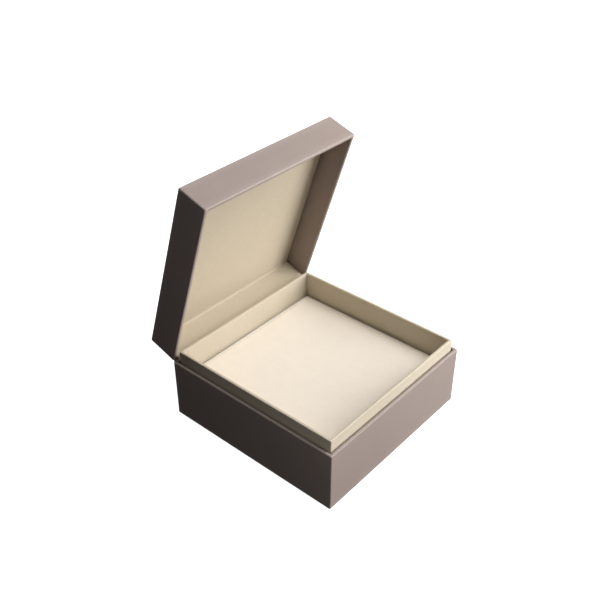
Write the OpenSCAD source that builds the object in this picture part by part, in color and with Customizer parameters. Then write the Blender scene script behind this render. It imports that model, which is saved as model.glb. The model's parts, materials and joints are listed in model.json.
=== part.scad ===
// Hinged jewelry gift box: a rigid paper-wrapped board base with a raised inner neck, a lid hinged
// along the base's back edge, and a padded insert that lifts out of the neck.
// Frame: origin under the middle of the base, +X right, -Y front, +Z up. The lid is drawn open.

/* [Box] */
// Outside width, left to right
box_w = 100; // [70:1:160]
// Outside depth, front to back
box_d = 100; // [70:1:160]
// Height of the base, from the table to its rim
base_h = 33; // [26:0.5:60]
// Depth of the lid, from its rim to its outer top face
lid_h = 16.5; // [12:0.5:30]
// How far the lid stands open, in degrees from closed
lid_open = 72; // [0:1:105]
// Seam between the two rims when the lid is closed
seam_gap = 0.4; // [0.3:0.05:0.8]

/* [Board and paper] */
// Greyboard of the base walls
base_board = 1.2; // [1:0.1:3]
// Greyboard of the base's bottom
base_bottom_t = 2; // [1.4:0.1:3]
// Greyboard of the lid's top
lid_top_board_t = 2; // [1.4:0.1:3]
// Play between the lid's inner walls and the neck
lid_fit = 0.5; // [0.3:0.05:0.8]
// Thickness of every covering paper
paper = 0.2; // [0.15:0.01:0.3]
// Thickness of the gummed tape on the corners and the hinge
tape = 0.1; // [0.06:0.01:0.12]
// How far the base's cover turns in over the rim
base_turn_in = 15; // [6:1:20]
// Leg of each corner stay, measured from the corner
stay_leg = 12; // [6:1:20]
// Distance of a corner stay's ends from the ends of the board
stay_end = 1; // [0.5:0.1:3]
// Margin of the underside sheet from the base's edge
sheet_margin = 2; // [1:0.5:6]

/* [Neck] */
// How far the neck stands above the base's rim
neck_rise = 6; // [3:0.5:9]
// Gap between the neck and the base's covered walls
neck_gap = 0.8; // [0.2:0.1:1.2]
// Card of the neck's four walls
neck_card = 1.1; // [0.8:0.1:2]
// How far the neck's paper turns down on its outer face
neck_turn_out = 12; // [8:1:16]

/* [Insert] */
// Distance from the neck's rim down to the insert's top face
insert_drop = 13; // [8:0.5:18]
// Thickness of the whole insert
insert_h = 11; // [7:0.5:14]
// Gap round the insert, on each side
insert_gap = 0.5; // [0.3:0.05:1]
// Stiff card under the insert's foam
insert_card_t = 1.2; // [0.8:0.1:2]
// Thickness of the insert's covering
cover_t = 0.35; // [0.2:0.05:0.6]
// How far the insert's covering turns under
cover_turn = 14; // [8:1:24]
// Radius of the insert's upright corners
insert_r = 1; // [0.6:0.1:2]
// Card of the riser strips that carry the insert
riser_card = 1; // [0.6:0.1:2]

/* [Lining] */
// Card of the panel inside the lid
liner_card_t = 0.8; // [0.5:0.1:1.5]
// Gap round the lid's panel and beside the back strip
liner_gap = 0.4; // [0.2:0.05:0.8]
// Height of each leaf of hinge tape
hinge_leaf = 9; // [5:1:11]
// Radius of the fold of tape in the hinge seam
fold_r = 0.15; // [0.1:0.01:0.15]
// How far the rim lining stops short of the hinge line
lining_stop = 0.5; // [0.3:0.1:1]

/* [Hidden] */
$fn = 48;
taupe = [0.60, 0.53, 0.50];
cream = [0.89, 0.82, 0.72];
beige = [0.80, 0.73, 0.63];
ivory = [0.95, 0.90, 0.83];
greyboard = [0.62, 0.58, 0.52];
gummed = [0.82, 0.74, 0.58];
foam_white = [0.93, 0.93, 0.90];

// Board blocks: what the boards fill, inside the covering paper
board_w = box_w - 2 * paper;
board_d = box_d - 2 * paper;
// Base: levels, and the neck's place, which is the wall with its cover on both faces and the gap
base_cover = base_board + 2 * paper;
base_wall = base_cover + neck_gap;
board_z0 = 2 * paper;
base_board_z1 = base_h - paper;
floor_z = board_z0 + base_bottom_t;
inner_w = board_w - 2 * base_board;
inner_d = board_d - 2 * base_board;
cover_in_w = box_w - 2 * base_cover;
cover_in_d = box_d - 2 * base_cover;
neck_w = box_w - 2 * base_wall;
neck_d = box_d - 2 * base_wall;
neck_t = neck_card + 2 * paper;
neck_top = base_h + neck_rise;
well_w = neck_w - 2 * neck_t;
well_d = neck_d - 2 * neck_t;
liner_z = floor_z + paper;
// Insert
insert_w = well_w - 2 * insert_gap;
insert_d = well_d - 2 * insert_gap;
insert_top = neck_top - insert_drop;
insert_z = insert_top - insert_h;
foam_z = insert_z + cover_t + insert_card_t;
pad_w = insert_w - 2 * cover_t;
pad_d = insert_d - 2 * cover_t;
pad_r = insert_r - cover_t;
// Lid, in its closed place
lid_board = base_wall - 2 * paper - lid_fit;
lid_wall = lid_board + 2 * paper;
lid_z = base_h + seam_gap;
lid_top = lid_z + lid_h;
lid_board_z0 = lid_z + paper;
lid_board_z1 = lid_top - paper;
ceiling_z = lid_board_z1 - lid_top_board_t;
lid_inner_w = board_w - 2 * lid_board;
lid_inner_d = board_d - 2 * lid_board;
lid_well_w = box_w - 2 * lid_wall;
lid_well_d = box_d - 2 * lid_wall;
panel_w = lid_well_w - 2 * liner_gap;
panel_d = lid_well_d - 2 * liner_gap;
panel_z = ceiling_z - liner_card_t - paper;
// Hinge line: on the base's outer back face, half way up the seam
hinge_y = box_d / 2;
hinge_z = base_h + seam_gap / 2;
hinge_len = board_w - 2 * stay_leg - 2 * stay_end;

// A block centred on X and Y, from one level to another
module block(w, d, z0, z1) {
    translate([-w / 2, -d / 2, z0])
        cube([w, d, z1 - z0]);
}

// A closed band round the middle, between an outer and an inner rectangle
module band(w, d, in_w, in_d, z0, z1) {
    translate([0, 0, z0])
        linear_extrude(z1 - z0)
            difference() {
                square([w, d], center = true);
                square([in_w, in_d], center = true);
            }
}

// A wall along X: side -1 is the front and 1 the back
module wall_x(w, d, t, side, z0, z1) {
    translate([-w / 2, side * (d - t) / 2 - t / 2, z0])
        cube([w, t, z1 - z0]);
}

// A wall along Y, between the two walls along X: side -1 is the left and 1 the right
module wall_y(w, d, t, side, z0, z1) {
    translate([side * (w - t) / 2 - t / 2, t - d / 2, z0])
        cube([t, d - 2 * t, z1 - z0]);
}

// Four angles of gummed tape on the outside corners of a board block
module corner_stays(z0, z1) {
    for (x = [-1, 1], y = [-1, 1])
        translate([x * (board_w / 2 + tape - stay_leg / 2), y * (board_d / 2 + tape - stay_leg / 2), 0])
            difference() {
                block(stay_leg, stay_leg, z0 + stay_end, z1 - stay_end);
                translate([-x * tape, -y * tape, 0])
                    block(stay_leg, stay_leg, z0, z1);
            }
}

// A strip of tape on the outer back face of a board block
module hinge_tape(z0, z1) {
    translate([-hinge_len / 2, board_d / 2, z0])
        cube([hinge_len, tape, z1 - z0]);
}

// An upright-cornered pad outline with true round corners
module pad_outline(w, d, r) {
    square([w - 2 * r, d], center = true);
    square([w, d - 2 * r], center = true);
    for (x = [-1, 1], y = [-1, 1])
        translate([x * (w / 2 - r), y * (d / 2 - r)])
            circle(r);
}

// Turns what is drawn in the lid's closed place to where the lid stands open
module opened() {
    translate([0, hinge_y, hinge_z])
        rotate([-lid_open, 0, 0])
            translate([0, -hinge_y, -hinge_z])
                children();
}

// --- Base ---

module base_underside_sheet() {
    color(taupe)
        block(box_w - 2 * sheet_margin, box_d - 2 * sheet_margin, 0, paper);
}

module base_bottom_board() {
    color(greyboard)
        block(inner_w, inner_d, board_z0, floor_z);
}

module base_wall_board_x(side) {
    color(greyboard)
        wall_x(board_w, board_d, base_board, side, board_z0, base_board_z1);
}

module base_wall_board_y(side) {
    color(greyboard)
        wall_y(board_w, board_d, base_board, side, board_z0, base_board_z1);
}

module base_corner_stays() {
    color(gummed)
        corner_stays(board_z0, base_board_z1);
}

// Cover of the base: under the bottom, up the walls, over the rim and down inside
module base_wrap() {
    color(taupe)
        difference() {
            union() {
                difference() {
                    block(box_w, box_d, paper, base_h);
                    block(board_w, board_d, board_z0, base_board_z1);
                    block(cover_in_w, cover_in_d, board_z0, base_h + paper);
                }
                band(inner_w, inner_d, cover_in_w, cover_in_d, base_h - base_turn_in, base_h);
            }
            corner_stays(board_z0, base_board_z1);
            hinge_tape(base_board_z1 - hinge_leaf, base_board_z1);
        }
}

module base_floor_liner() {
    color(cream)
        block(well_w, well_d, floor_z, liner_z);
}

// --- Neck ---

module neck_card_x(side) {
    color(cream)
        wall_x(neck_w - 2 * paper, neck_d - 2 * paper, neck_card, side, floor_z, neck_top - paper);
}

module neck_card_y(side) {
    color(cream)
        wall_y(neck_w - 2 * paper, neck_d - 2 * paper, neck_card, side, floor_z, neck_top - paper);
}

// Cover of the neck: its inner face, over the rim and a turn-down outside
module neck_wrap() {
    color(cream) {
        band(neck_w, neck_d, neck_w - 2 * paper, neck_d - 2 * paper, neck_top - neck_turn_out, neck_top);
        band(neck_w, neck_d, well_w, well_d, neck_top - paper, neck_top);
        band(well_w + 2 * paper, well_d + 2 * paper, well_w, well_d, floor_z, neck_top);
    }
}

// --- Riser that carries the insert ---

module riser_x(side) {
    color(cream)
        wall_x(well_w, well_d, riser_card, side, liner_z, insert_z);
}

module riser_y(side) {
    color(cream)
        wall_y(well_w, well_d, riser_card, side, liner_z, insert_z);
}

// --- Hinge ---

module hinge_tape_base() {
    color(gummed)
        hinge_tape(base_board_z1 - hinge_leaf, base_board_z1);
}

// The roll of tape and paper in the seam, which the lid turns about
module hinge_fold() {
    color(taupe)
        translate([-hinge_len / 2, hinge_y, hinge_z])
            rotate([0, 90, 0])
                cylinder(h = hinge_len, r = fold_r);
}

// Lower edge of the lining strip, glued down on the base's back rim and across its gap to the neck
module rim_lining() {
    color(beige)
        translate([-panel_w / 2, neck_d / 2, base_h])
            cube([panel_w, base_wall - lining_stop, seam_gap / 2]);
}

module hinge_tape_lid() {
    color(gummed)
        opened()
            hinge_tape(lid_board_z0, lid_board_z0 + hinge_leaf);
}

// --- Lid ---

module lid_top_board() {
    color(greyboard)
        opened()
            block(lid_inner_w, lid_inner_d, ceiling_z, lid_board_z1);
}

module lid_wall_board_x(side) {
    color(greyboard)
        opened()
            wall_x(board_w, board_d, lid_board, side, lid_board_z0, lid_board_z1);
}

module lid_wall_board_y(side) {
    color(greyboard)
        opened()
            wall_y(board_w, board_d, lid_board, side, lid_board_z0, lid_board_z1);
}

module lid_corner_stays() {
    color(gummed)
        opened()
            corner_stays(lid_board_z0, lid_board_z1);
}

// Cover of the lid: over the top, down the walls, under the rim and up inside to the panel
module lid_wrap() {
    color(taupe)
        opened()
            difference() {
                union() {
                    difference() {
                        block(box_w, box_d, lid_z, lid_top);
                        block(board_w, board_d, lid_board_z0, lid_board_z1);
                        block(lid_well_w, lid_well_d, lid_z - paper, lid_board_z1);
                    }
                    band(lid_inner_w, lid_inner_d, lid_well_w, lid_well_d, lid_z, ceiling_z);
                }
                corner_stays(lid_board_z0, lid_board_z1);
                hinge_tape(lid_board_z0, lid_board_z0 + hinge_leaf);
            }
}

module lid_liner_card() {
    color(greyboard)
        opened()
            block(panel_w - 2 * paper, panel_d - 2 * paper, panel_z + paper, ceiling_z);
}

// Paper over the panel's visible face and its four edges
module lid_liner_paper() {
    color(beige)
        opened()
            difference() {
                block(panel_w, panel_d, panel_z, ceiling_z);
                block(panel_w - 2 * paper, panel_d - 2 * paper, panel_z + paper, ceiling_z + paper);
            }
}

// Strip of lining on the lid's inner back wall, from the rim to the panel
module lid_back_lining() {
    color(beige)
        opened()
            translate([-panel_w / 2, lid_well_d / 2 - paper, lid_z])
                cube([panel_w, paper, panel_z - lid_z]);
}

// --- Insert ---

module insert_card() {
    color(greyboard)
        translate([0, 0, insert_z + cover_t])
            linear_extrude(insert_card_t)
                pad_outline(pad_w, pad_d, pad_r);
}

module insert_foam() {
    color(foam_white)
        translate([0, 0, foam_z])
            linear_extrude(insert_top - cover_t - foam_z)
                pad_outline(pad_w, pad_d, pad_r);
}

// Cover of the insert: its face and edges, with a turn-under on the card
module insert_cover() {
    color(ivory)
        difference() {
            translate([0, 0, insert_z])
                linear_extrude(insert_h)
                    pad_outline(insert_w, insert_d, insert_r);
            translate([0, 0, insert_z + cover_t])
                linear_extrude(insert_h - 2 * cover_t)
                    pad_outline(pad_w, pad_d, pad_r);
            block(pad_w - 2 * cover_turn, pad_d - 2 * cover_turn, insert_z - cover_t, foam_z);
        }
}

base_underside_sheet();
base_bottom_board();
base_wall_board_x(-1);  // base_front_board
base_wall_board_x(1);  // base_back_board
base_wall_board_y(-1);  // base_left_board
base_wall_board_y(1);  // base_right_board
base_corner_stays();
base_wrap();
base_floor_liner();
neck_card_x(-1);  // neck_front_card
neck_card_x(1);  // neck_back_card
neck_card_y(-1);  // neck_left_card
neck_card_y(1);  // neck_right_card
neck_wrap();
riser_x(-1);  // riser_front
riser_x(1);  // riser_back
riser_y(-1);  // riser_left
riser_y(1);  // riser_right
hinge_tape_base();
hinge_fold();
rim_lining();
lid_top_board();
lid_wall_board_x(-1);  // lid_front_board
lid_wall_board_x(1);  // lid_back_board
lid_wall_board_y(-1);  // lid_left_board
lid_wall_board_y(1);  // lid_right_board
lid_corner_stays();
lid_wrap();
lid_liner_card();
lid_liner_paper();
lid_back_lining();
hinge_tape_lid();
insert_card();
insert_foam();
insert_cover();
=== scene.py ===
import json
import math

import bmesh
import bpy
from mathutils import Matrix, Vector


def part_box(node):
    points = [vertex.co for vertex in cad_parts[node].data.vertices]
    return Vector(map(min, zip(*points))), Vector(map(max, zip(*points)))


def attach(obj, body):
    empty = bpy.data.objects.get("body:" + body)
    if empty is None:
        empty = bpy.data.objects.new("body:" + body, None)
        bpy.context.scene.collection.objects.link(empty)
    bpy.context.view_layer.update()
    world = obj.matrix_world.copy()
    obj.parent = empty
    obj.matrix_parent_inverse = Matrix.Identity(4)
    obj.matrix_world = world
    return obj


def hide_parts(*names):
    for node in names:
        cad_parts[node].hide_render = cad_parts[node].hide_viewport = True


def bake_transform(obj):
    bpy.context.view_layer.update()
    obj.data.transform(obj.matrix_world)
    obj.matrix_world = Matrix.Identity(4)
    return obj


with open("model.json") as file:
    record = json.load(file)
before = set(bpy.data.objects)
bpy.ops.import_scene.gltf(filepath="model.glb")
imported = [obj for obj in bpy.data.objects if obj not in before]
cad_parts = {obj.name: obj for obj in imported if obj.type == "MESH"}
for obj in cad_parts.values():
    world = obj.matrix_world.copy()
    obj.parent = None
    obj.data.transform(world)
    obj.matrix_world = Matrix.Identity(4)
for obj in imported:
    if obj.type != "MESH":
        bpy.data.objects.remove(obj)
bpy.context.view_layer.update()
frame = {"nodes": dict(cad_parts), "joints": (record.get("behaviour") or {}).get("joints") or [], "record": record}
mm = 0.001
nodes = frame["nodes"]
bodyOf = {name: body for body, names in frame["record"]["behaviour"]["bodies"].items() for name in names}
slotOf = {row["node"]: row["material_slot"] for row in frame["record"]["subparts"]}
scene = bpy.context.scene

# the lid is stored open: this turn takes a point from the shut box to where the lid stands
hinge = next(j for j in frame["joints"] if j["name"] == "lid_hinge")
hingePoint = Vector(hinge["pos_m"])
openAngle = math.radians(-hinge["range_deg"][0])
openTurn = (Matrix.Translation(hingePoint) @ Matrix.Rotation(-openAngle, 4, "X")
            @ Matrix.Translation(-hingePoint))
shutTurn = openTurn.inverted()


def shutBox(node):
    # lowest and highest corner of a lid node with the box shut
    points = [shutTurn @ v.co for v in nodes[node].data.vertices]
    low = Vector([min(p[i] for p in points) for i in range(3)])
    high = Vector([max(p[i] for p in points) for i in range(3)])
    return low, high


def newFinish(name):
    material = bpy.data.materials.new(name)
    material.use_nodes = True
    tree = material.node_tree
    shader = tree.nodes["Principled BSDF"]
    place = tree.nodes.new("ShaderNodeTexCoord")
    return material, tree, shader, place.outputs["Object"]


def addNoise(tree, vector, size, detail=3.0, roughness=0.6, stretch=None):
    # size is the width of one patch, in metres
    if stretch is not None:
        mapping = tree.nodes.new("ShaderNodeMapping")
        mapping.inputs["Scale"].default_value = stretch
        tree.links.new(vector, mapping.inputs["Vector"])
        vector = mapping.outputs["Vector"]
    node = tree.nodes.new("ShaderNodeTexNoise")
    node.inputs["Scale"].default_value = 1.0 / size
    node.inputs["Detail"].default_value = detail
    node.inputs["Roughness"].default_value = roughness
    tree.links.new(vector, node.inputs["Vector"])
    return node.outputs["Fac"]


def addRamp(tree, value, stops):
    node = tree.nodes.new("ShaderNodeValToRGB")
    ramp = node.color_ramp
    while len(ramp.elements) < len(stops):
        ramp.elements.new(0.5)
    for element, (position, colour) in zip(ramp.elements, stops):
        element.position = position
        element.color = (*colour, 1.0) if hasattr(colour, "__len__") else (colour, colour, colour, 1.0)
    tree.links.new(value, node.inputs["Fac"])
    return node.outputs["Color"]


def addMath(tree, kind, a, b):
    node = tree.nodes.new("ShaderNodeMath")
    node.operation = kind
    for socket, value in zip(node.inputs, (a, b)):
        if isinstance(value, (int, float)):
            socket.default_value = value
        else:
            tree.links.new(value, socket)
    return node.outputs[0]


def addMix(tree, kind, factor, a, b):
    node = tree.nodes.new("ShaderNodeMix")
    node.data_type = "RGBA"
    node.blend_type = kind
    for name, value in (("Factor", factor), ("A", a), ("B", b)):
        socket = next(s for s in node.inputs if s.name == name and s.enabled)
        if isinstance(value, (int, float)):
            socket.default_value = value
        elif isinstance(value, tuple):
            socket.default_value = (*value, 1.0)
        else:
            tree.links.new(value, socket)
    return next(s for s in node.outputs if s.enabled)


def addBump(tree, shader, layers):
    # layers are (height socket, depth in metres), coarse to fine
    normal = None
    for height, depth in layers:
        node = tree.nodes.new("ShaderNodeBump")
        node.inputs["Strength"].default_value = 1.0
        node.inputs["Distance"].default_value = depth
        tree.links.new(height, node.inputs["Height"])
        if normal is not None:
            tree.links.new(normal, node.inputs["Normal"])
        normal = node.outputs["Normal"]
    tree.links.new(normal, shader.inputs["Normal"])


def shade(colour, factor):
    return tuple(min(1.0, c * factor) for c in colour)


def addAttribute(tree, name):
    node = tree.nodes.new("ShaderNodeAttribute")
    node.attribute_name = name
    return node.outputs["Fac"]


coverLook = {
    "colour": (0.330, 0.268, 0.240),
    "worn": (0.41, 0.34, 0.305),
    "grain": 0.20 * mm,
    "speck": 0.55 * mm,
    "cloud": 22 * mm,
    "roughness": (0.50, 0.66),
    "specular": 0.32,
    "speckDeep": 0.020 * mm,
    "grainDeep": 0.018 * mm,
}


def coverPaper():
    # grained art paper: a pebbled emboss, with painted shade darkening its pits, and paler where edges rub
    look = coverLook
    material, tree, shader, place = newFinish("coverPaper")
    grain = addNoise(tree, place, look["grain"], 2.0, 0.55)
    speck = addNoise(tree, place, look["speck"], 4.0, 0.7)
    cloud = addNoise(tree, place, look["cloud"], 2.0, 0.5)
    base = addRamp(tree, speck, [(0.30, shade(look["colour"], 0.94)), (0.52, look["colour"]),
                                 (0.74, shade(look["colour"], 1.05))])
    clouded = addMix(tree, "MULTIPLY", 1.0, base, addRamp(tree, cloud, [(0.3, 0.955), (0.7, 1.0)]))
    # painted shade: the colour is darkened in the grain's pits, where shade would fall
    paintedPitShade = addRamp(tree, grain, [(0.28, 0.90), (0.50, 1.0)])
    withPaintedPitShade = addMix(tree, "MULTIPLY", 1.0, clouded, paintedPitShade)
    patchy = addRamp(tree, speck, [(0.35, 0.15), (0.75, 0.6)])
    rub = addMath(tree, "MULTIPLY", addAttribute(tree, "edgeWear"), patchy)
    tree.links.new(addMix(tree, "MIX", rub, withPaintedPitShade, look["worn"]), shader.inputs["Base Color"])
    low, high = look["roughness"]
    tree.links.new(addRamp(tree, grain, [(0.3, high), (0.7, low)]), shader.inputs["Roughness"])
    shader.inputs["Specular IOR Level"].default_value = look["specular"]
    addBump(tree, shader, [(speck, look["speckDeep"]), (grain, look["grainDeep"])])
    return material


liningLook = {
    "beige": (0.53, 0.457, 0.343),
    "cream": (0.57, 0.503, 0.392),
    "card": (0.78, 0.72, 0.60),
    "fibre": 0.55 * mm,
    "tooth": 0.22 * mm,
    "cloud": 30 * mm,
    "specular": 0.3,
    "deep": 0.02 * mm,       # emboss of the fibre and of the tooth
}


def linedPaper(name, colour):
    # uncoated lining paper: soft tooth, faint long fibres
    look = liningLook
    material, tree, shader, place = newFinish(name)
    tooth = addNoise(tree, place, look["tooth"], 3.0, 0.6)
    fibre = addNoise(tree, place, look["fibre"], 3.0, 0.65, stretch=(0.22, 1.0, 1.0))
    cloud = addNoise(tree, place, look["cloud"], 2.0, 0.5)
    base = addRamp(tree, fibre, [(0.30, shade(colour, 0.945)), (0.5, colour), (0.72, shade(colour, 1.045))])
    clouded = addMix(tree, "MULTIPLY", 1.0, base, addRamp(tree, cloud, [(0.3, 0.965), (0.7, 1.0)]))
    tree.links.new(clouded, shader.inputs["Base Color"])
    tree.links.new(addRamp(tree, tooth, [(0.3, 0.82), (0.7, 0.68)]), shader.inputs["Roughness"])
    shader.inputs["Specular IOR Level"].default_value = look["specular"]
    addBump(tree, shader, [(fibre, look["deep"]), (tooth, look["deep"])])
    return material


suedeLook = {
    "colour": (0.86, 0.785, 0.68),
    "nap": 0.30 * mm,
    "brush": 3.2 * mm,
    "cloud": 26 * mm,
    "sheen": 0.25,
    "sheenRoughness": 0.5,
    "specular": 0.2,
    "brushDeep": 0.03 * mm,
    "napDeep": 0.05 * mm,
}


def ivorySuede():
    # short-napped cover: fine fibres, and areas brushed a little paler
    look = suedeLook
    material, tree, shader, place = newFinish("ivorySuede")
    nap = addNoise(tree, place, look["nap"], 4.0, 0.75)
    brush = addNoise(tree, place, look["brush"], 4.0, 0.6, stretch=(1.0, 0.45, 1.0))
    cloud = addNoise(tree, place, look["cloud"], 2.0, 0.5)
    base = addRamp(tree, nap, [(0.28, shade(look["colour"], 0.93)), (0.5, look["colour"]),
                               (0.75, shade(look["colour"], 1.05))])
    brushed = addMix(tree, "MULTIPLY", 1.0, base, addRamp(tree, brush, [(0.3, 0.97), (0.7, 1.0)]))
    clouded = addMix(tree, "MULTIPLY", 1.0, brushed, addRamp(tree, cloud, [(0.3, 0.975), (0.7, 1.0)]))
    tree.links.new(clouded, shader.inputs["Base Color"])
    tree.links.new(addRamp(tree, nap, [(0.3, 0.95), (0.7, 0.85)]), shader.inputs["Roughness"])
    shader.inputs["Sheen Weight"].default_value = look["sheen"]
    shader.inputs["Sheen Roughness"].default_value = look["sheenRoughness"]
    shader.inputs["Specular IOR Level"].default_value = look["specular"]
    addBump(tree, shader, [(brush, look["brushDeep"]), (nap, look["napDeep"])])
    return material


boardLook = {
    "colour": (0.33, 0.285, 0.225),
    "pulp": 0.8 * mm,
    "fleck": 0.35 * mm,
    "pulpDeep": 0.05 * mm,
    "fleckDeep": 0.03 * mm,
}


def greyBoard():
    # recycled board: dark and pale flecks in a grey brown sheet
    look = boardLook
    colour = look["colour"]
    material, tree, shader, place = newFinish("greyBoard")
    pulp = addNoise(tree, place, look["pulp"], 4.0, 0.7, stretch=(0.4, 1.0, 1.0))
    fleck = addNoise(tree, place, look["fleck"], 2.0, 0.5)
    base = addRamp(tree, pulp, [(0.3, shade(colour, 0.8)), (0.5, colour), (0.75, shade(colour, 1.25))])
    flecks = addRamp(tree, fleck, [(0.24, 0.45), (0.32, 1.0), (0.72, 1.0), (0.80, 1.3)])
    tree.links.new(addMix(tree, "MULTIPLY", 1.0, base, flecks), shader.inputs["Base Color"])
    tree.links.new(addRamp(tree, pulp, [(0.3, 0.95), (0.7, 0.85)]), shader.inputs["Roughness"])
    addBump(tree, shader, [(pulp, look["pulpDeep"]), (fleck, look["fleckDeep"])])
    return material


tapeLook = {
    "colour": (0.60, 0.44, 0.26),
    "pulp": 0.6 * mm,
    "threads": 160.0,
    "waver": 0.6,
    "threadDeep": 0.03 * mm,
    "pulpDeep": 0.02 * mm,
}


def gummedTape():
    # kraft tape with its reinforcing threads showing as fine ribs
    look = tapeLook
    colour = look["colour"]
    material, tree, shader, place = newFinish("gummedTape")
    pulp = addNoise(tree, place, look["pulp"], 3.0, 0.6)
    wave = tree.nodes.new("ShaderNodeTexWave")
    wave.bands_direction = "Z"
    wave.inputs["Scale"].default_value = look["threads"]
    wave.inputs["Distortion"].default_value = look["waver"]
    tree.links.new(place, wave.inputs["Vector"])
    base = addRamp(tree, pulp, [(0.3, shade(colour, 0.85)), (0.7, shade(colour, 1.12))])
    ribs = addRamp(tree, wave.outputs["Fac"], [(0.0, 0.85), (1.0, 1.0)])
    tree.links.new(addMix(tree, "MULTIPLY", 1.0, base, ribs), shader.inputs["Base Color"])
    tree.links.new(addRamp(tree, pulp, [(0.3, 0.55), (0.7, 0.4)]), shader.inputs["Roughness"])
    addBump(tree, shader, [(wave.outputs["Fac"], look["threadDeep"]), (pulp, look["pulpDeep"])])
    return material


foamLook = {"colour": (0.84, 0.83, 0.77), "pores": 1800.0, "cloud": 5 * mm, "poreDeep": 0.15 * mm}


def whiteFoam():
    # open-cell foam: small round pores, painted darker as shade in the holes
    look = foamLook
    colour = look["colour"]
    material, tree, shader, place = newFinish("whiteFoam")
    cells = tree.nodes.new("ShaderNodeTexVoronoi")
    cells.inputs["Scale"].default_value = look["pores"]
    tree.links.new(place, cells.inputs["Vector"])
    soft = addNoise(tree, place, look["cloud"], 3.0, 0.5)
    # painted shade: the colour darkens towards each pore's centre
    base = addRamp(tree, cells.outputs["Distance"], [(0.05, shade(colour, 0.72)), (0.45, colour)])
    poreShadedAndAged = addMix(tree, "MULTIPLY", 1.0, base, addRamp(tree, soft, [(0.3, 0.95), (0.7, 1.0)]))
    tree.links.new(poreShadedAndAged, shader.inputs["Base Color"])
    tree.links.new(addRamp(tree, soft, [(0.3, 0.95), (0.7, 0.88)]), shader.inputs["Roughness"])
    addBump(tree, shader, [(cells.outputs["Distance"], look["poreDeep"])])
    return material


finishes = {
    "taupe_paper": coverPaper(),
    "cream_paper": linedPaper("creamPaper", liningLook["cream"]),
    "beige_paper": linedPaper("beigePaper", liningLook["beige"]),
    "white_card": linedPaper("whiteCard", liningLook["card"]),
    "greyboard": greyBoard(),
    "gummed_tape": gummedTape(),
    "foam": whiteFoam(),
    "ivory_suede": ivorySuede(),
}
print("finishes made")

# every CAD piece that stays gets the finish of its slot
for name, thing in nodes.items():
    thing.data.materials.clear()
    thing.data.materials.append(finishes[slotOf[name]])


def newObject(name, mesh):
    thing = bpy.data.objects.new(name, mesh)
    scene.collection.objects.link(thing)
    return thing


def objectFrom(name, mesh):
    # a new object from a finished bmesh
    data = bpy.data.meshes.new(name)
    mesh.to_mesh(data)
    mesh.free()
    return newObject(name, data)


def settle(thing, material=None, evenNormals=True):
    # turns the object and its modifiers into one plain mesh
    if evenNormals:
        even = thing.modifiers.new("even", "WEIGHTED_NORMAL")
        even.keep_sharp = True
        even.weight = 90
    bpy.context.view_layer.update()
    shown = thing.evaluated_get(bpy.context.evaluated_depsgraph_get())
    mesh = bpy.data.meshes.new_from_object(shown, preserve_all_data_layers=True,
                                           depsgraph=bpy.context.evaluated_depsgraph_get())
    thing.modifiers.clear()
    thing.data = mesh
    if material is not None:
        mesh.materials.clear()
        mesh.materials.append(material)
    return thing


def handOver(thing, body, slot, *replaced):
    if replaced:
        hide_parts(*replaced)
    if body is not None:
        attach(thing, body)
    return thing


def turnPoints(centre, radius, start, end, steps):
    # a round turn of a profile, as (inset, height) points
    points = []
    for i in range(steps + 1):
        angle = math.radians(start + (end - start) * i / steps)
        points.append((centre[0] + radius * math.cos(angle), centre[1] + radius * math.sin(angle)))
    return points


loopShape = {
    "cornerSteps": 6,
    "sideSteps": 12,
    "flapEdge": 0.95 * mm,
    "flapSlope": 0.06 * mm,
    "tightest": 0.12 * mm,   # no corner is rounder in than this
}


def cornerRadius(edge, inset):
    return max(edge - inset, loopShape["tightest"])


def rectLoop(halfW, halfD, radius, height, flap=0.0, dent=0.0, drop=0.0):
    # one closed line round the box, anticlockwise from the front right corner.
    # flap is how far the side flaps stand over the corner wraps; dent and drop make the corner's mitre
    shape = loopShape
    cornerW = halfW - flap
    corners = [(1, -1, -90), (1, 1, 0), (-1, 1, 90), (-1, -1, 180)]
    arcs = []
    for sideX, sideY, startAngle in corners:
        centre = Vector((sideX * (cornerW - radius), sideY * (halfD - radius)))
        arc = []
        for i in range(shape["cornerSteps"] + 1):
            angle = math.radians(startAngle + 90 * i / shape["cornerSteps"])
            point = centre + radius * Vector((math.cos(angle), math.sin(angle)))
            lift = 0.0
            if i == shape["cornerSteps"] // 2:
                point += Vector((sideX, sideY)) * dent * math.sqrt(0.5)
                lift = drop
            arc.append((point.x, point.y, height + lift, 1.0))
        arcs.append(arc)
    loop = []
    for k, arc in enumerate(arcs):
        loop += arc
        here, there = Vector(arc[-1][:2]), Vector(arcs[(k + 1) % 4][0][:2])
        along = (there - here).normalized()
        length = (there - here).length
        isSide = k % 2 == 0
        outward = Vector((1, 0)) * (1 if k == 0 else -1)
        margin = min(max(shape["flapEdge"] - radius, 0.05 * mm), length * 0.2)
        slope = min(shape["flapSlope"], length * 0.05)
        stops = [(margin, 0.0), (margin + slope, 1.0)]
        inner = length - 2 * (margin + slope)
        steps = shape["sideSteps"]
        stops += [(margin + slope + inner * i / steps, 1.0) for i in range(1, steps)]
        stops += [(length - margin - slope, 1.0), (length - margin, 0.0)]
        for distance, raised in stops:
            point = here + along * distance
            if isSide:
                point += outward * flap * raised
            loop.append((point.x, point.y, height, 0.0))
    return loop


def bowedWall(shape, foot, height, steps):
    # (inset, height, wear) up a wall that draws in a little at mid height
    edge = shape["edge"]
    rows = []
    for k in range(1, steps):
        share = k / steps
        inset = shape["bow"] * math.sin(math.pi * share)
        rows.append((inset, foot + edge + (height - 2 * edge) * share, 0.0))
    return rows


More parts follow.
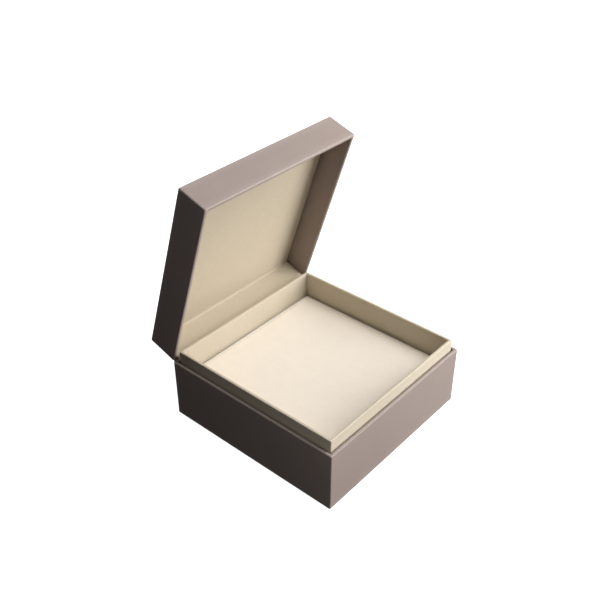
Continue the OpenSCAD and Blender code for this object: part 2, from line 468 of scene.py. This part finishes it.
def loftSheet(name, loops, capEnd=False, capStart=False):
    # a sheet of paper through closed lines of equal count; each entry is (line, wear, wear at its corners)
    mesh = bmesh.new()
    wear = mesh.verts.layers.float.new("edgeWear")
    rows = []
    for line, loopWear, cornerWear in loops:
        row = []
        for x, y, z, atCorner in line:
            vert = mesh.verts.new((x, y, z))
            vert[wear] = max(loopWear, cornerWear * atCorner)
            row.append(vert)
        rows.append(row)
    for lower, upper in zip(rows, rows[1:]):
        count = len(lower)
        for i in range(count):
            k = (i + 1) % count
            mesh.faces.new((lower[i], lower[k], upper[k], upper[i]))
    if capEnd:
        mesh.faces.new(rows[-1])
    if capStart:
        mesh.faces.new(list(reversed(rows[0])))
    for face in mesh.faces:
        face.smooth = True
    return objectFrom(name, mesh)


def thicken(thing, thickness):
    solid = thing.modifiers.new("thickness", "SOLIDIFY")
    solid.thickness = thickness
    solid.offset = -1.0
    solid.use_even_offset = True
    return thing


def plainCopy(name, node):
    # a merged copy of a CAD node, to be softened; the node itself is left alone
    mesh = bmesh.new()
    mesh.from_mesh(nodes[node].data)
    bmesh.ops.remove_doubles(mesh, verts=mesh.verts, dist=1e-6)
    bmesh.ops.dissolve_limit(mesh, angle_limit=math.radians(1), verts=mesh.verts, edges=mesh.edges)
    return objectFrom(name, mesh)


def camel(node):
    first, *rest = node.split("_")
    return first + "".join(word.capitalize() for word in rest)


boardCut = {"crushed": 0.45 * mm, "segments": 3}


def softBoard(node):
    # cut board has its arrises crushed a little by the paper pulled over them
    thing = plainCopy(camel(node), node)
    bevel = thing.modifiers.new("crushed", "BEVEL")
    bevel.width = boardCut["crushed"]
    bevel.segments = boardCut["segments"]
    bevel.limit_method = "ANGLE"
    settle(thing, finishes[slotOf[node]])
    handOver(thing, bodyOf[node], slotOf[node], node)


boardNodes = [n for n in nodes if n.endswith("_board")]
for name in sorted(boardNodes):
    softBoard(name)
print("boards made:", len(boardNodes))

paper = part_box("base_underside_sheet")[1].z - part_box("base_underside_sheet")[0].z

def setInputs(modifier, values):
    # a node tree's inputs are set by their identifiers
    for item in modifier.node_group.interface.items_tree:
        if item.item_type == "SOCKET" and item.in_out == "INPUT" and item.name in values:
            modifier[item.identifier] = values[item.name]


def newTree(name, sizes):
    # an empty geometry tree with its named inputs, and a short way to add nodes to it
    tree = bpy.data.node_groups.new(name, "GeometryNodeTree")
    tree.interface.new_socket("Geometry", in_out="OUTPUT", socket_type="NodeSocketGeometry")
    tree.interface.new_socket("Geometry", in_out="INPUT", socket_type="NodeSocketGeometry")
    for size in sizes:
        tree.interface.new_socket(size, in_out="INPUT", socket_type="NodeSocketFloat")
    tree.interface.new_socket("Material", in_out="INPUT", socket_type="NodeSocketMaterial")

    def add(kind, inputs=None, **settings):
        node = tree.nodes.new(kind)
        for key, value in settings.items():
            setattr(node, key, value)
        for key, value in (inputs or {}).items():
            if isinstance(value, bpy.types.NodeSocket):
                tree.links.new(value, node.inputs[key])
            else:
                node.inputs[key].default_value = value
        return node

    return tree, add, add("NodeGroupInput").outputs


def endTree(tree, add, geometry, material):
    real = add("GeometryNodeRealizeInstances", {"Geometry": geometry})
    coloured = add("GeometryNodeSetMaterial", {"Geometry": real.outputs[0], "Material": material})
    tree.links.new(coloured.outputs[0], add("NodeGroupOutput").inputs["Geometry"])
    return tree


def fourCorners(add, geometry, half):
    # one instance at each corner of the box, each turned a quarter on from the last
    reach = add("ShaderNodeMath", {0: half, 1: math.sqrt(2)}, operation="MULTIPLY")
    ring = add("GeometryNodeMeshCircle", {"Vertices": 4, "Radius": reach.outputs[0]})
    index = add("GeometryNodeInputIndex")
    quarter = add("ShaderNodeMath", {0: index.outputs[0], 1: math.pi / 2}, operation="MULTIPLY")
    turn = add("ShaderNodeCombineXYZ", {"Z": quarter.outputs[0]})
    placed = add("GeometryNodeInstanceOnPoints", {"Points": ring.outputs[0], "Instance": geometry,
                                                  "Rotation": turn.outputs[0]})
    square = add("GeometryNodeTransform", {"Geometry": placed.outputs[0],
                                           "Rotation": (0.0, 0.0, math.pi / 4)})
    return square.outputs[0]


def stayTree():
    # a folded angle of tape, its corner rounded, at each corner of the box
    tree, add, given = newTree("cornerStays", ("Half Width", "Leg", "Round", "Tape", "Height", "Foot"))
    shrink = add("ShaderNodeMath", {0: given["Leg"], 1: math.sqrt(0.5)}, operation="MULTIPLY")
    size = add("ShaderNodeCombineXYZ", {"X": shrink.outputs[0], "Y": shrink.outputs[0], "Z": 1.0})
    sized = add("GeometryNodeTransform", {"Geometry": given["Geometry"], "Scale": size.outputs[0]})
    path = add("GeometryNodeMeshToCurve", {"Mesh": sized.outputs[0]})
    bent = add("GeometryNodeFilletCurve", {"Curve": path.outputs[0], "Count": 6, "Radius": given["Round"]},
               mode="POLY")
    strip = add("GeometryNodeCurvePrimitiveQuadrilateral", {"Width": given["Tape"],
                                                            "Height": given["Height"]})
    tape = add("GeometryNodeCurveToMesh", {"Curve": bent.outputs[0], "Profile Curve": strip.outputs[0],
                                           "Fill Caps": True})
    middle = add("ShaderNodeMath", {0: given["Height"], 1: 0.5}, operation="MULTIPLY")
    level = add("ShaderNodeMath", {0: middle.outputs[0], 1: given["Foot"]}, operation="ADD")
    lift = add("ShaderNodeCombineXYZ", {"Z": level.outputs[0]})
    raised = add("GeometryNodeTransform", {"Geometry": tape.outputs[0], "Translation": lift.outputs[0]})
    return endTree(tree, add, fourCorners(add, raised.outputs[0], given["Half Width"]), given["Material"])


def facingOut(thing):
    mesh = bmesh.new()
    mesh.from_mesh(thing.data)
    bmesh.ops.recalc_face_normals(mesh, faces=mesh.faces)
    mesh.to_mesh(thing.data)
    mesh.free()


stayShape = {"tape": 0.05 * mm, "radius": 0.72 * mm, "leg": 12 * mm, "sunk": 0.18 * mm}
stays = stayTree()


def cornerStays(name, node, halfWidth, shut):
    # angles of tape pressed round the board's upright corners
    shape = stayShape
    low, high = shutBox(node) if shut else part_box(node)
    data = bpy.data.meshes.new(name)
    data.from_pydata([(-1, -1, 0), (0, 0, 0), (-1, 1, 0)], [(0, 1), (1, 2)], [])
    thing = newObject(name, data)
    tapes = thing.modifiers.new("stays", "NODES")
    tapes.node_group = stays
    setInputs(tapes, {"Half Width": halfWidth + paper - shape["sunk"], "Leg": shape["leg"],
                      "Round": shape["radius"], "Tape": shape["tape"], "Height": high.z - low.z,
                      "Foot": low.z, "Material": finishes["gummed_tape"]})
    settle(thing, evenNormals=False)
    facingOut(thing)
    if shut:
        thing.data.transform(openTurn)
    handOver(thing, bodyOf[node], "gummed_tape", node)


cornerStays("baseCornerStays", "base_corner_stays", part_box("base_front_board")[1].x, False)
cornerStays("lidCornerStays", "lid_corner_stays", shutBox("lid_front_board")[1].x, True)
print("corner stays made")

baseCoverShape = {
    "edge": 0.62 * mm,       # outer folds
    "lip": 0.36 * mm,        # inner fold of the rim
    "under": 16 * mm,        # margin turned under the bottom
    "turnIn": 15 * mm,
    "sheet": 0.1 * mm,
    "flap": 0.05 * mm,       # side flap lying over the corner wrap
    "mitre": 0.07 * mm,
    "bow": 0.04 * mm,        # the walls draw in this much at mid height
    "flat": 2 * mm,          # the sheet is flat again this far from a fold
    "rimWear": 0.25,
    "cornerWear": 0.7,
}


def baseCover():
    shape = baseCoverShape
    low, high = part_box("base_wrap")
    wall = high.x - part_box("base_right_board")[0].x + paper
    edge, lip = shape["edge"], shape["lip"]
    profile = [(shape["under"], low.z, 0.0), (edge + shape["flat"], low.z, 0.0)]
    profile += [(i, z, 1.0) for i, z in turnPoints((edge, low.z + edge), edge, 270, 180, 6)]
    profile += bowedWall(shape, low.z, high.z - low.z, 8)
    profile += [(i, z, shape["rimWear"]) for i, z in turnPoints((edge, high.z - edge), edge, 180, 90, 6)]
    profile += [(i, z, 0.0) for i, z in turnPoints((wall - lip, high.z - lip), lip, 90, 0, 5)]
    profile += [(wall, high.z - shape["flat"], 0.0), (wall, high.z - shape["turnIn"], 0.0)]
    loops = []
    for inset, z, wear in profile:
        radius = cornerRadius(edge, inset)
        rim = z > high.z - 1.01 * edge and inset > 0.3 * edge
        inside = inset > wall - 0.6 * lip and z > low.z + edge
        loops.append((rectLoop(high.x - inset, high.y - inset, radius, z,
                               flap=shape["flap"] if not inside else 0.0,
                               dent=shape["mitre"] if inside else 0.0,
                               drop=-shape["mitre"] if rim and not inside else 0.0),
                      wear, shape["cornerWear"] if inset < edge else 0.0))
    thing = loftSheet("baseCover", loops)
    thicken(thing, shape["sheet"])
    settle(thing, finishes["taupe_paper"])
    handOver(thing, "base", "taupe_paper", "base_wrap")


baseCover()

lidCoverShape = {
    "edge": 0.75 * mm,
    "lip": 0.42 * mm,
    "sheet": 0.1 * mm,
    "flap": 0.05 * mm,
    "mitre": 0.07 * mm,
    "bow": 0.04 * mm,
    "short": 0.05 * mm,      # the turn-in stops this far under the ceiling
    "flat": 2 * mm,          # the sheet is flat again this far from the rim's fold
    "topFlat": (1.5 * mm, 6 * mm),   # lines of points on the top, in from its fold
    "cornerWear": 0.7,
}


def lidCover():
    shape = lidCoverShape
    low, high = shutBox("lid_wrap")
    ceiling = shutBox("lid_liner_card")[1].z
    wall = shutBox("lid_left_board")[1].x - low.x + paper
    edge, lip = shape["edge"], shape["lip"]
    profile = [(wall, ceiling - shape["short"], 0.0), (wall, low.z + shape["flat"], 0.0)]
    profile += [(i, z, 1.0) for i, z in turnPoints((wall - lip, low.z + lip), lip, 0, -90, 5)]
    profile += [(i, z, 1.0) for i, z in turnPoints((edge, low.z + edge), edge, 270, 180, 6)]
    profile += bowedWall(shape, low.z, high.z - low.z, 5)
    profile += [(i, z, 1.0) for i, z in turnPoints((edge, high.z - edge), edge, 180, 90, 6)]
    half = high.x
    profile += [(edge + step, high.z, 0.0) for step in shape["topFlat"]]
    loops = []
    for inset, z, wear in profile:
        radius = cornerRadius(edge, inset)
        rim = z < low.z + 1.01 * edge and inset > 0.3 * edge
        inside = inset > wall - 0.6 * lip and z < ceiling
        loops.append((rectLoop(half - inset, half - inset, radius, z,
                               flap=shape["flap"] if not inside and z < high.z - 0.2 * edge else 0.0,
                               dent=shape["mitre"] if inside else 0.0,
                               drop=shape["mitre"] if rim and not inside else 0.0),
                      wear, shape["cornerWear"] if inset < edge else 0.0))
    thing = loftSheet("lidCover", loops, capEnd=True)
    thicken(thing, shape["sheet"])
    settle(thing, finishes["taupe_paper"])
    thing.data.transform(openTurn)
    handOver(thing, "lid", "taupe_paper", "lid_wrap")


lidCover()
print("covers made")

panelShape = {
    "edge": 0.4 * mm,
    "corner": 0.6 * mm,
    "sheet": 0.1 * mm,
    "side": 0.35 * mm,
    "faceFlat": (6 * mm, 0.6 * mm),  # lines of points on the face, in from its fold
    "short": 0.02 * mm,      # the paper stops this far under the lid's ceiling
    "edgeWear": 0.6,
}


def lidPanel():
    # card wrapped in beige paper, glued to the lid's ceiling
    shape = panelShape
    low, high = shutBox("lid_liner_paper")
    edge, half = shape["edge"], high.x
    side = shape["side"]
    profile = [(edge + step, low.z, 0.0) for step in shape["faceFlat"]]
    profile += [(i, z, shape["edgeWear"]) for i, z in turnPoints((edge, low.z + edge), edge, 270, 180, 5)]
    profile += [(0.0, high.z - shape["short"], 0.0)]
    loops = []
    for inset, z, wear in profile:
        wide = max(half - inset - side, 0.2 * mm)
        loops.append((rectLoop(wide, half - inset, cornerRadius(shape["corner"], inset), z), wear, 0.0))
    thing = loftSheet("lidPanel", loops, capStart=True)
    thicken(thing, shape["sheet"])
    settle(thing, finishes["beige_paper"])
    thing.data.transform(openTurn)
    handOver(thing, "lid", "beige_paper", "lid_liner_paper")


lidPanel()

stripShape = {
    "sheet": 0.12 * mm,
    "crease": 1.1 * mm,      # roundness of the crease against the panel
    "belly": 0.55 * mm,      # the right end stands off the wall
    "bellyEnd": 17 * mm,     # how much of the strip's length that takes
    "columns": 60,
    "toe": 0.35 * mm,        # rise of its lower edge above the rim
    "side": 0.3 * mm,        # its ends stop this far inside the panel's width
    "glue": 0.03 * mm,
    "inWall": 0.02 * mm,
    "turn": 0.5 * mm,        # the strip leaves the lid's wall this far over its rim
    "overRim": 0.15 * mm,
    "toeIn": 0.25 * mm,
    "sag": 0.18 * mm,        # slack of the part between lid and base
}


def hingeLining():
    # strip from the panel's crease down the lid's back wall and over the hinge to the neck's foot
    shape = stripShape
    low, high = shutBox("lid_back_lining")
    panelZ = shutBox("lid_liner_paper")[0].z
    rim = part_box("rim_lining")
    glue = shape["glue"]
    wallY = high.y - shape["inWall"]
    crease = shape["crease"]
    shut = [(wallY - crease, panelZ - glue)]
    for i in range(1, 7):
        angle = math.radians(90 * i / 6)
        shut.append((wallY - crease + crease * math.sin(angle),
                     panelZ - glue - crease * (1 - math.cos(angle))))
    for k in range(1, 9):
        shut.append((wallY, panelZ - crease + (low.z + shape["turn"] - (panelZ - crease)) * k / 8))
    shut.append((wallY + glue, low.z + shape["overRim"]))
    toe = Vector((0, rim[0].y + shape["toeIn"], rim[1].z + shape["toe"]))
    edge = openTurn @ Vector((0, shut[-1][0], shut[-1][1]))
    mesh = bmesh.new()
    rows = []
    columns, side = shape["columns"], shape["side"]
    for c in range(columns + 1):
        x = low.x + side + (high.x - low.x - 2 * side) * c / columns
        fromEnd = (high.x - side - x) / shape["bellyEnd"]
        stand = shape["belly"] * max(0.0, 1 - fromEnd) ** 2 if fromEnd < 1 else 0.0
        row = []
        for n, (y, z) in enumerate(shut):
            share = n / (len(shut) - 1)
            swell = stand * math.sin(math.pi * min(1.0, share * 1.05)) ** 0.8 if share < 0.95 else 0.0
            row.append(mesh.verts.new(openTurn @ Vector((x, y - swell, z - 0.3 * swell))))
        for k in range(1, 7):
            share = k / 6
            point = edge.lerp(toe, share)
            sag = shape["sag"] * math.sin(math.pi * share)
            row.append(mesh.verts.new((x, point.y + sag, point.z - sag)))
        row.append(mesh.verts.new((x, toe.y - 0.1 * mm, toe.z - shape["toe"] + 0.05 * mm)))
        rows.append(row)
    for a, b in zip(rows, rows[1:]):
        for i in range(len(a) - 1):
            mesh.faces.new((a[i], a[i + 1], b[i + 1], b[i]))
    for face in mesh.faces:
        face.smooth = True
    thing = thicken(objectFrom("hingeLining", mesh), shape["sheet"])
    settle(thing, finishes["beige_paper"])
    handOver(thing, None, "beige_paper", "lid_back_lining")
    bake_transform(thing)


hingeLining()

spineShape = {"proud": 0.03 * mm, "reach": 2.2 * mm, "sheet": 0.08 * mm, "columns": 24, "bulge": 0.05 * mm}


def hingeSpine():
    # the cover paper where it runs on from base to lid over the hinge, outside
    shape = spineShape
    base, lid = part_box("base_wrap"), shutBox("lid_wrap")
    edge = baseCoverShape["edge"]
    y = base[1].y + shape["proud"]
    lowZ, highZ = base[1].z, lid[0].z
    shut = [lowZ - edge - shape["reach"] * (1 - k / 4) for k in range(4)]
    shut += [lowZ - edge + (highZ - lowZ + 2 * edge) * k / 16 for k in range(17)]
    shut += [highZ + edge + shape["reach"] * k / 4 for k in range(1, 5)]
    half = base[1].x - edge
    mesh = bmesh.new()
    wear = mesh.verts.layers.float.new("edgeWear")
    rows = []
    for c in range(shape["columns"] + 1):
        x = -half + 2 * half * c / shape["columns"]
        row = []
        for z in shut:
            share = min(1.0, max(0.0, (z - lowZ + edge) / (highZ - lowZ + 2 * edge)))
            turn = share * share * (3 - 2 * share)
            bulge = shape["bulge"] * math.sin(math.pi * share)
            offset = Vector((0, y + bulge - hingePoint.y, z - hingePoint.z))
            point = Matrix.Rotation(-openAngle * turn, 4, "X") @ offset + hingePoint
            vert = mesh.verts.new((x, point.y, point.z))
            vert[wear] = 0.9 * math.sin(math.pi * share)
            row.append(vert)
        rows.append(row)
    for a, b in zip(rows, rows[1:]):
        for i in range(len(a) - 1):
            mesh.faces.new((a[i], b[i], b[i + 1], a[i + 1]))
    bmesh.ops.recalc_face_normals(mesh, faces=mesh.faces)
    for face in mesh.faces:
        face.smooth = True
    thing = objectFrom("hingeSpine", mesh)
    if sum(f.normal.y for f in thing.data.polygons) < 0:
        thing.data.flip_normals()
    thicken(thing, shape["sheet"])
    settle(thing, finishes["taupe_paper"])
    handOver(thing, None, "taupe_paper", "hinge_fold")
    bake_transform(thing)


hingeSpine()
print("linings made")


neckShape = {
    "edge": 0.5 * mm,        # upright outer corners
    "lip": 0.42 * mm,        # folds of the rim
    "sheet": 0.12 * mm,
    "turnOut": 12 * mm,      # paper carried down the outside
    "flap": 0.04 * mm,
    "mitre": 0.16 * mm,      # seam open in the inner corners
    "flat": 2 * mm,          # lines of points over the lower edge and under the rim's folds
    "rimFlat": 1 * mm,
    "midLine": 12.4 * mm,    # and one on the inner face
    "rimWear": 0.8,
}


def neckPaper():
    # cream paper up the inside of the neck, over its rim and down outside
    shape = neckShape
    low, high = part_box("neck_wrap")
    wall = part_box("riser_left")[0].x - low.x
    edge, lip = shape["edge"], shape["lip"]
    footZ = high.z - shape["turnOut"]
    under = high.z - lip - shape["rimFlat"]
    profile = [(0.0, footZ, 0.0), (0.0, footZ + shape["flat"], 0.0), (0.0, under, 0.0)]
    profile += [(i, z, shape["rimWear"]) for i, z in turnPoints((lip, high.z - lip), lip, 180, 90, 5)]
    profile += [(i, z, shape["rimWear"]) for i, z in turnPoints((wall - lip, high.z - lip), lip, 90, 0, 5)]
    profile += [(wall, under, 0.0), (wall, low.z + shape["midLine"], 0.0), (wall, low.z, 0.0)]
    loops = []
    for inset, z, wear in profile:
        inside = inset > wall - 0.6 * lip
        onRim = z > high.z - 1.01 * lip and not inside and inset > 0.5 * lip
        loops.append((rectLoop(high.x - inset, high.y - inset, cornerRadius(edge, inset), z,
                               flap=0.0 if inside else shape["flap"],
                               dent=shape["mitre"] if inside else 0.0,
                               drop=-shape["mitre"] if onRim else 0.0), wear, 0.0))
    thing = loftSheet("neckPaper", loops)
    thicken(thing, shape["sheet"])
    settle(thing, finishes["cream_paper"])
    handOver(thing, "base", "cream_paper", "neck_wrap")


neckPaper()
print("neck made")

padShape = {
    "start": 0.35 * mm,      # the pad starts this much smaller and swells to size
    "edge": 0.6 * mm,
    "corner": 1.1 * mm,
    "crown": 0.15 * mm,
    "voxel": 0.9 * mm,
    "pressure": 4.0,
    "cap": 0.38 * mm,        # no point swells further than this
    "opening": 31.6 * mm,    # the card shows inside this half width underneath
    "cover": 0.3 * mm,
    "footRound": ((0.9 * mm, 0.0), (0.35 * mm, 0.1 * mm), (0.0, 0.5 * mm)),  # in from the side, up
    "flat": (4 * mm, 2 * mm),        # straight side: from over the foot to under the edge
    "glued": 0.4 * mm,       # what lies lower than this is held by the card
    "tension": 15,
    "bending": 0.5,
    "frames": 20,
}


def swell(thing, shape, pinned):
    # blows the cover up against its own stretch, then keeps the result as plain mesh
    before = [v.co.copy() for v in thing.data.vertices]
    held = thing.vertex_groups.new(name="held")
    held.add([v.index for v in thing.data.vertices if pinned(v.co)], 1.0, "REPLACE")
    cloth = thing.modifiers.new("cloth", "CLOTH")
    cloth.settings.use_pressure = True
    cloth.settings.uniform_pressure_force = shape["pressure"]
    cloth.settings.effector_weights.gravity = 0.0
    cloth.settings.vertex_group_mass = "held"
    cloth.settings.tension_stiffness = shape["tension"]
    cloth.settings.compression_stiffness = shape["tension"]
    cloth.settings.bending_stiffness = shape["bending"]
    cloth.point_cache.frame_start = 1
    cloth.point_cache.frame_end = shape["frames"]
    for n in range(1, shape["frames"] + 1):
        scene.frame_set(n)
    settle(thing, evenNormals=False)
    scene.frame_set(1)
    thing.vertex_groups.clear()
    moved = 0.0
    for vert, old in zip(thing.data.vertices, before):
        step = vert.co - old
        moved = max(moved, step.length)
        if step.length > shape["cap"]:
            vert.co = old + step.normalized() * shape["cap"]
    return moved


def insertPad():
    # suede stretched over foam and glued under its card
    shape = padShape
    low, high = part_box("insert_cover")
    small = shape["start"]
    half, top, foot = high.x - small, high.z - small - shape["crown"], low.z
    edge = shape["edge"]
    glued = foot + shape["glued"]
    overFoot, underEdge = shape["flat"]
    profile = [(half * 0.96, foot), (half * 0.5, foot)]
    profile += [(inset, foot + up) for inset, up in shape["footRound"]]
    profile += [(0.0, foot + overFoot), (0.0, top - edge - underEdge)]
    profile += turnPoints((edge, top - edge), edge, 180, 90, 6)
    for k in range(1, 16):
        share = k / 16
        inset = edge + (half - edge) * share
        profile.append((inset, top + shape["crown"] * math.sin(math.pi / 2 * min(1.0, share * 2.2))))
    loops = []
    for inset, z in profile:
        wide = half - inset
        radius = max(min(shape["corner"], wide * 0.8) - inset, 0.1 * mm)
        loops.append((rectLoop(wide, wide, radius, z), 0.0, 0.0))
    thing = loftSheet("insertPad", loops, capStart=True, capEnd=True)
    remesh = thing.modifiers.new("even", "REMESH")
    remesh.mode = "VOXEL"
    remesh.voxel_size = shape["voxel"]
    remesh.use_smooth_shade = True
    settle(thing, evenNormals=False)
    moved = swell(thing, shape, lambda co: co.z < glued)
    print("pad swelled, furthest point", round(moved / mm, 2), "mm before the cap")
    facingOut(thing)
    mesh = bmesh.new()
    mesh.from_mesh(thing.data)
    opening = shape["opening"]
    for normal in ((1, 0, 0), (-1, 0, 0), (0, 1, 0), (0, -1, 0)):
        under = [f for f in mesh.faces if f.normal.z < -0.9 and f.calc_center_median().z < glued]
        geom = under + list({e for f in under for e in f.edges}) + list({v for f in under for v in f.verts})
        bmesh.ops.bisect_plane(mesh, geom=geom, plane_co=Vector(normal) * opening, plane_no=normal)
    gone = [f for f in mesh.faces if f.normal.z < -0.9 and f.calc_center_median().z < glued
            and max(abs(f.calc_center_median().x), abs(f.calc_center_median().y)) < opening]
    bmesh.ops.delete(mesh, geom=gone, context="FACES")
    for face in mesh.faces:
        face.smooth = True
    mesh.to_mesh(thing.data)
    mesh.free()
    thicken(thing, shape["cover"])
    settle(thing, finishes["ivory_suede"], evenNormals=False)
    handOver(thing, "insert", "ivory_suede", "insert_cover")


insertPad()

pleatShape = {"reach": 10 * mm, "width": 0.42 * mm, "fan": 0.2, "inset": 1.4 * mm, "sunk": 0.03 * mm}


def pleatTree():
    # cloth gathered into five tapering folds under each corner
    tree, add, given = newTree("padPleats", ("Half Width", "Reach", "Width", "Fan", "Level"))
    inward = add("ShaderNodeMath", {0: given["Reach"], 1: -1.0}, operation="MULTIPLY")
    end = add("ShaderNodeCombineXYZ", {"X": inward.outputs[0]})
    line = add("GeometryNodeCurvePrimitiveLine", {"End": end.outputs[0]})
    path = add("GeometryNodeResampleCurve", {"Curve": line.outputs[0], "Count": 14})
    along = add("GeometryNodeSplineParameter")
    left = add("ShaderNodeMath", {0: 1.02, 1: along.outputs["Factor"]}, operation="SUBTRACT")
    taper = add("ShaderNodeMath", {0: left.outputs[0], 1: 0.7}, operation="POWER")
    wide = add("ShaderNodeMath", {0: taper.outputs[0], 1: given["Width"]}, operation="MULTIPLY")
    ring = add("GeometryNodeCurvePrimitiveCircle", {"Resolution": 10, "Radius": 1.0})
    oval = add("GeometryNodeTransform", {"Geometry": ring.outputs[0], "Scale": (1.0, 0.35, 1.0)})
    fold = add("GeometryNodeCurveToMesh", {"Curve": path.outputs[0], "Profile Curve": oval.outputs[0],
                                           "Scale": wide.outputs[0], "Fill Caps": True})
    row = add("GeometryNodeMeshLine", {"Count": 5, "Offset": (0.0, 0.0, 0.0)})
    index = add("GeometryNodeInputIndex")
    step = add("ShaderNodeMath", {0: index.outputs[0], 1: 2.0}, operation="SUBTRACT")
    angle = add("ShaderNodeMath", {0: step.outputs[0], 1: given["Fan"]}, operation="MULTIPLY")
    turn = add("ShaderNodeCombineXYZ", {"Z": angle.outputs[0]})
    uneven = add("FunctionNodeRandomValue", {"Seed": 7}, data_type="FLOAT")
    uneven.inputs[2].default_value = 0.75
    uneven.inputs[3].default_value = 1.1
    fan = add("GeometryNodeInstanceOnPoints", {"Points": row.outputs[0], "Instance": fold.outputs[0],
                                               "Rotation": turn.outputs[0], "Scale": uneven.outputs[1]})
    gathered = add("GeometryNodeRealizeInstances", {"Geometry": fan.outputs[0]})
    lift = add("ShaderNodeCombineXYZ", {"Z": given["Level"]})
    raised = add("GeometryNodeTransform", {"Geometry": gathered.outputs[0], "Translation": lift.outputs[0]})
    return endTree(tree, add, fourCorners(add, raised.outputs[0], given["Half Width"]), given["Material"])


def padPleats():
    shape = pleatShape
    low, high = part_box("insert_cover")
    thing = newObject("padPleats", bpy.data.meshes.new("padPleats"))
    folds = thing.modifiers.new("pleats", "NODES")
    folds.node_group = pleatTree()
    setInputs(folds, {"Half Width": high.x - shape["inset"], "Reach": shape["reach"],
                      "Width": shape["width"], "Fan": shape["fan"], "Level": low.z + shape["sunk"],
                      "Material": finishes["ivory_suede"]})
    settle(thing, evenNormals=False)
    facingOut(thing)
    for face in thing.data.polygons:
        face.use_smooth = True
    handOver(thing, "insert", "ivory_suede")


padPleats()

foamShape = {"corner": 1.2 * mm, "segments": 4, "slack": 0.35 * mm}


def softCore(node, everyEdge):
    # foam and card lose their corners where the cover pulls over them
    shape = foamShape
    thing = plainCopy(camel(node), node)
    mesh = bmesh.new()
    mesh.from_mesh(thing.data)
    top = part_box(node)[1].z
    for vert in mesh.verts:
        vert.co.x -= math.copysign(shape["slack"], vert.co.x)
        vert.co.y -= math.copysign(shape["slack"], vert.co.y)
        if everyEdge and vert.co.z > top - 0.1 * mm:
            vert.co.z -= shape["slack"]
    edges = [e for e in mesh.edges if everyEdge or abs((e.verts[0].co - e.verts[1].co).normalized().z) > 0.9]
    bmesh.ops.bevel(mesh, geom=edges, offset=shape["corner"], segments=shape["segments"], profile=0.5,
                    affect="EDGES", clamp_overlap=True)
    mesh.to_mesh(thing.data)
    mesh.free()
    settle(thing, finishes[slotOf[node]])
    handOver(thing, "insert", slotOf[node], node)


softCore("insert_foam", True)
softCore("insert_card", False)
print("insert made")

stageShape = {"dome": 2.5, "below": 0.1 * mm, "pale": (1.0, 1.0, 1.0), "glow": 0.965}


def glowing(name, own, colour, strength):
    # a finish that shows its own even light; own is how much of the lamps' light it gives back
    material, _, shader, _ = newFinish(name)
    shader.inputs["Base Color"].default_value = (own, own, own, 1)
    shader.inputs["Roughness"].default_value = 0.9
    shader.inputs["Specular IOR Level"].default_value = 0.0
    shader.inputs["Emission Color"].default_value = (*colour, 1)
    shader.inputs["Emission Strength"].default_value = strength
    return material


def paleStage():
    # plain pale floor and surround; they show to the camera but throw no light back
    shape = stageShape
    mesh = bmesh.new()
    bmesh.ops.create_circle(mesh, cap_ends=True, segments=96, radius=shape["dome"])
    bmesh.ops.translate(mesh, verts=mesh.verts, vec=(0, 0, -shape["below"]))
    floor = objectFrom("floor", mesh)
    floor.data.materials.append(glowing("paleFloor", 0.5, shape["pale"], shape["glow"]))
    mesh = bmesh.new()
    bmesh.ops.create_uvsphere(mesh, u_segments=64, v_segments=32, radius=shape["dome"])
    bmesh.ops.reverse_faces(mesh, faces=mesh.faces)
    dome = objectFrom("surround", mesh)
    dome.data.materials.append(glowing("surround", 0.0, shape["pale"], 1.0))
    for thing in (floor, dome):
        thing.visible_diffuse = False
        thing.visible_glossy = False
        thing.visible_shadow = False


paleStage()

lightShape = {
    "aim": (0.0, 0.0, 0.045),
    "key": {"azimuth": 38, "elevation": 52, "distance": 0.47, "size": 0.40, "power": 2.55},
    "front": {"azimuth": 42, "elevation": 8, "distance": 0.47, "size": 0.30, "power": 2.6},
    "left": {"azimuth": -40, "elevation": 6, "distance": 0.17, "size": 0.08, "power": 0.022},
    "fill": {"azimuth": -95, "elevation": 42, "distance": 0.5, "size": 0.3, "power": 0.10},
    "rear": {"azimuth": 175, "elevation": 35, "distance": 0.6, "size": 0.5, "power": 2.2},
    "world": (0.018, 0.0150, 0.0165),
}


def awayFrom(aim, azimuth, elevation, distance):
    # azimuth 0 stands in front of the box, 90 to its right
    a, e = math.radians(azimuth), math.radians(elevation)
    back = Vector((math.sin(a) * math.cos(e), -math.cos(a) * math.cos(e), math.sin(e)))
    return Vector(aim) + back * distance, back


def studioLight(name):
    shape = lightShape[name]
    place, back = awayFrom(lightShape["aim"], shape["azimuth"], shape["elevation"], shape["distance"])
    data = bpy.data.lights.new(name, "AREA")
    data.shape = "SQUARE"
    data.size = shape["size"]
    data.energy = shape["power"]
    lamp = bpy.data.objects.new(name, data)
    lamp.location = place
    lamp.rotation_euler = back.to_track_quat("Z", "Y").to_euler()
    lamp.visible_camera = False
    scene.collection.objects.link(lamp)


for name in ("key", "front", "left", "fill", "rear"):
    studioLight(name)
world = bpy.data.worlds.new("room")
scene.world = world
world.use_nodes = True
world.node_tree.nodes["Background"].inputs["Color"].default_value = (*lightShape["world"], 1)
scene.view_settings.view_transform = "Standard"
scene.view_settings.look = "None"

cameraShape = {
    "aim": (0.0232, 0.0312, 0.040),
    "azimuth": -49.1,
    "elevation": 34.75,
    "distance": 0.458,
    "lens": 52.2,
}


def makeCamera():
    shape = cameraShape
    place, back = awayFrom(shape["aim"], shape["azimuth"], shape["elevation"], shape["distance"])
    data = bpy.data.cameras.new("camera")
    data.lens = shape["lens"]
    data.clip_start = 0.01
    camera = bpy.data.objects.new("camera", data)
    camera.location = place
    camera.rotation_euler = back.to_track_quat("Z", "Y").to_euler()
    scene.collection.objects.link(camera)
    scene.camera = camera


makeCamera()
print("stage made")
